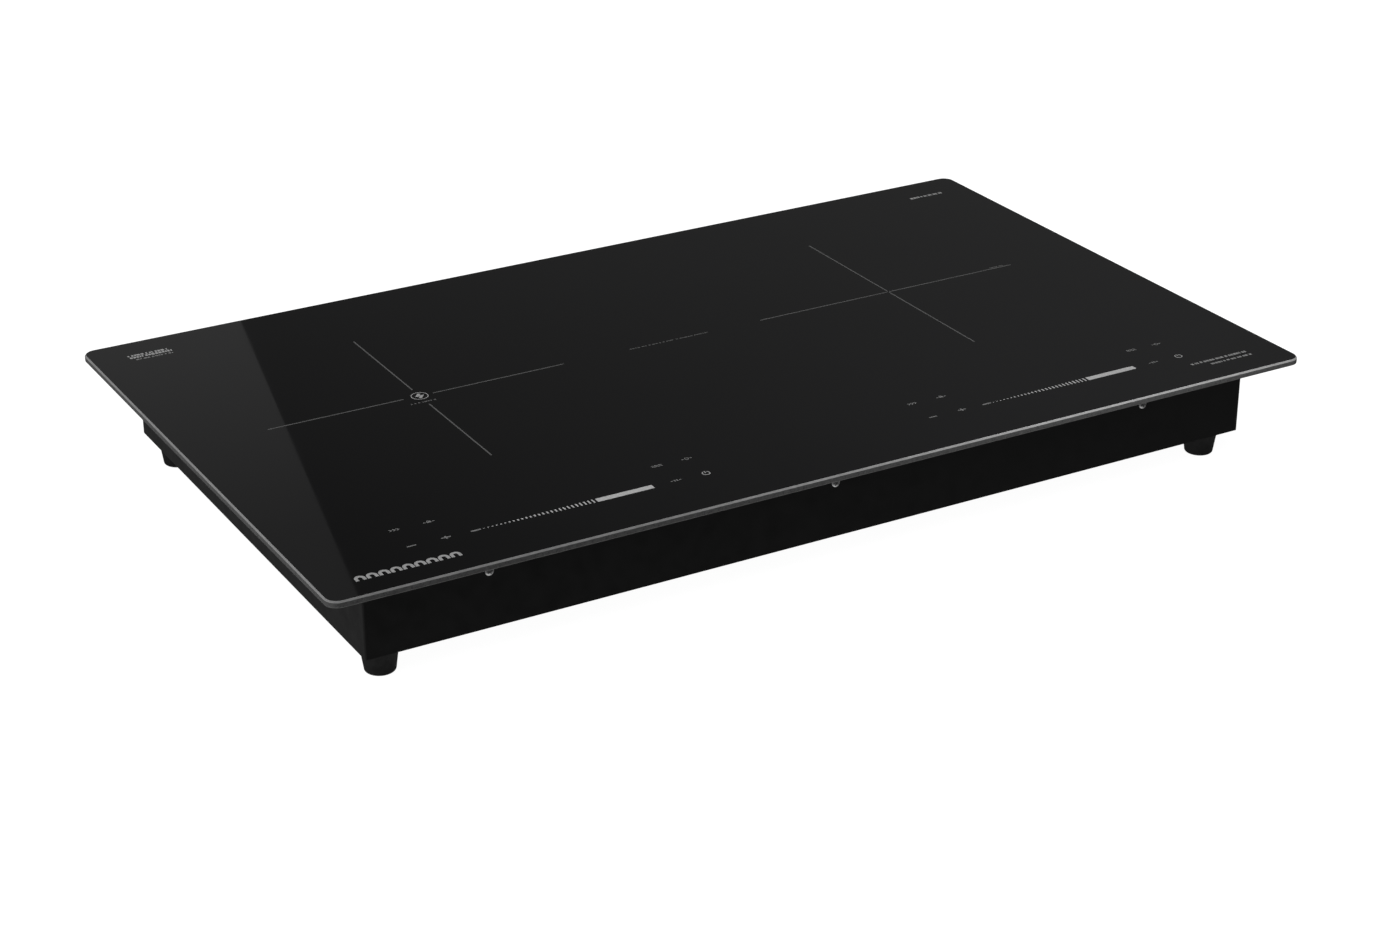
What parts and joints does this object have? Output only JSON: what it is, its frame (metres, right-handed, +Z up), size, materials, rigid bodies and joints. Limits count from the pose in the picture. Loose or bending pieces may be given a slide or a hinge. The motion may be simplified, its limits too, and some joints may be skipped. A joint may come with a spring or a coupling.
{
  "type": "induction cooktop",
  "caption": "Black glass induction cooktop with a left and a right zone, touch controls, a steel tray with cooling vents and rubber feet.",
  "frame": {"origin": "centre of the plane that the feet stand on", "axes": "+X to the user's right along the glass, +Y away from the user, +Z up through the cooking surface"},
  "size_m": [0.74, 0.44, 0.079],
  "materials": {
    "ceramic_glass": "polished black glass-ceramic, opaque, with a ground bright edge",
    "black_paint": "satin black powder coat on sheet steel",
    "galvanised_steel": "zinc-coated sheet",
    "rubber": "matt black rubber",
    "screw_steel": "bright nickel-plated steel",
    "dark_plastic": "black moulded plastic",
    "pale_plastic": "off-white heat-resistant moulding",
    "aluminium": "mill finish",
    "coil_wire": "enamelled stranded wire, copper colour",
    "ferrite": "sintered dark grey",
    "mica": "pressed mica sheet",
    "silicone": "off-white silicone and glass-fibre sleeve",
    "spring_steel": "bright spring wire",
    "circuit_board": "green solder mask",
    "component": "black moulded package",
    "wire_insulation": "brown-red sleeve",
    "printed_marks": "grey enamel printed on the glass"
  },
  "bodies": {
    "casing": {"bottom_tray": "black_paint", "bridge_rectifier_left": "component", "bridge_rectifier_right": "component", "cable_gland": "dark_plastic", "case_screw_front_1": "screw_steel", "case_screw_front_2": "screw_steel", "case_screw_front_3": "screw_steel", "case_screw_rear_1": "screw_steel", "case_screw_rear_2": "screw_steel", "case_screw_rear_3": "screw_steel", "coil_lead_left": "silicone", "coil_lead_right": "silicone", "coil_shield_left": "aluminium", "coil_shield_right": "aluminium", "coil_spring_left_1": "spring_steel", "coil_spring_left_2": "spring_steel", "coil_spring_left_3": "spring_steel", "coil_spring_right_1": "spring_steel", "coil_spring_right_2": "spring_steel", "coil_spring_right_3": "spring_steel", "fan_housing_left": "dark_plastic", "fan_housing_right": "dark_plastic", "film_capacitor_left": "component", "film_capacitor_right": "component", "filter_choke_left": "coil_wire", "filter_choke_right": "coil_wire", "foot_front_left": "rubber", "foot_front_right": "rubber", "foot_rear_left": "rubber", "foot_rear_right": "rubber", "gland_nut": "dark_plastic", "glass_top": "ceramic_glass", "heatsink_left": "aluminium", "heatsink_right": "aluminium", "mains_lead_left": "wire_insulation", "mains_lead_right": "wire_insulation", "power_board_left": "circuit_board", "power_board_right": "circuit_board", "power_transistor_left": "component", "power_transistor_right": "component", "support_frame": "galvanised_steel", "terminal_block": "pale_plastic", "touch_board_left": "circuit_board", "touch_board_right": "circuit_board", "touch_holder_left": "dark_plastic", "touch_holder_right": "dark_plastic"},
    "coil_left": {"coil_carrier_left": "pale_plastic", "coil_winding_left": "coil_wire", "ferrite_bars_left": "ferrite", "mica_disc_left": "mica", "heat_sensor_left": "silicone"},
    "fan_rotor_left": {"fan_impeller_left": "dark_plastic", "fan_shaft_left": "screw_steel"},
    "coil_right": {"coil_carrier_right": "pale_plastic", "coil_winding_right": "coil_wire", "ferrite_bars_right": "ferrite", "mica_disc_right": "mica", "heat_sensor_right": "silicone"},
    "fan_rotor_right": {"fan_impeller_right": "dark_plastic", "fan_shaft_right": "screw_steel"}
  },
  "joints": [
    {"name": "coil_float_left", "type": "slide", "parent": "casing", "child": "coil_left", "axis": [0, 0, 1], "range_m": [-0.003, 0], "stiffness_N_per_m": 3000, "springref_m": 0.004, "deforming": ["coil_spring_left_1", "coil_spring_left_2", "coil_spring_left_3", "coil_lead_left"]},
    {"name": "fan_spin_left", "type": "hinge", "parent": "casing", "child": "fan_rotor_left", "pos_m": [-0.1955, -0.13, 0.034], "axis": [0, 0, 1], "continuous": true},
    {"name": "coil_float_right", "type": "slide", "parent": "casing", "child": "coil_right", "axis": [0, 0, 1], "range_m": [-0.003, 0], "stiffness_N_per_m": 3000, "springref_m": 0.004, "deforming": ["coil_spring_right_1", "coil_spring_right_2", "coil_spring_right_3", "coil_lead_right"]},
    {"name": "fan_spin_right", "type": "hinge", "parent": "casing", "child": "fan_rotor_right", "pos_m": [0.187, -0.13, 0.034], "axis": [0, 0, 1], "continuous": true}
  ]
}
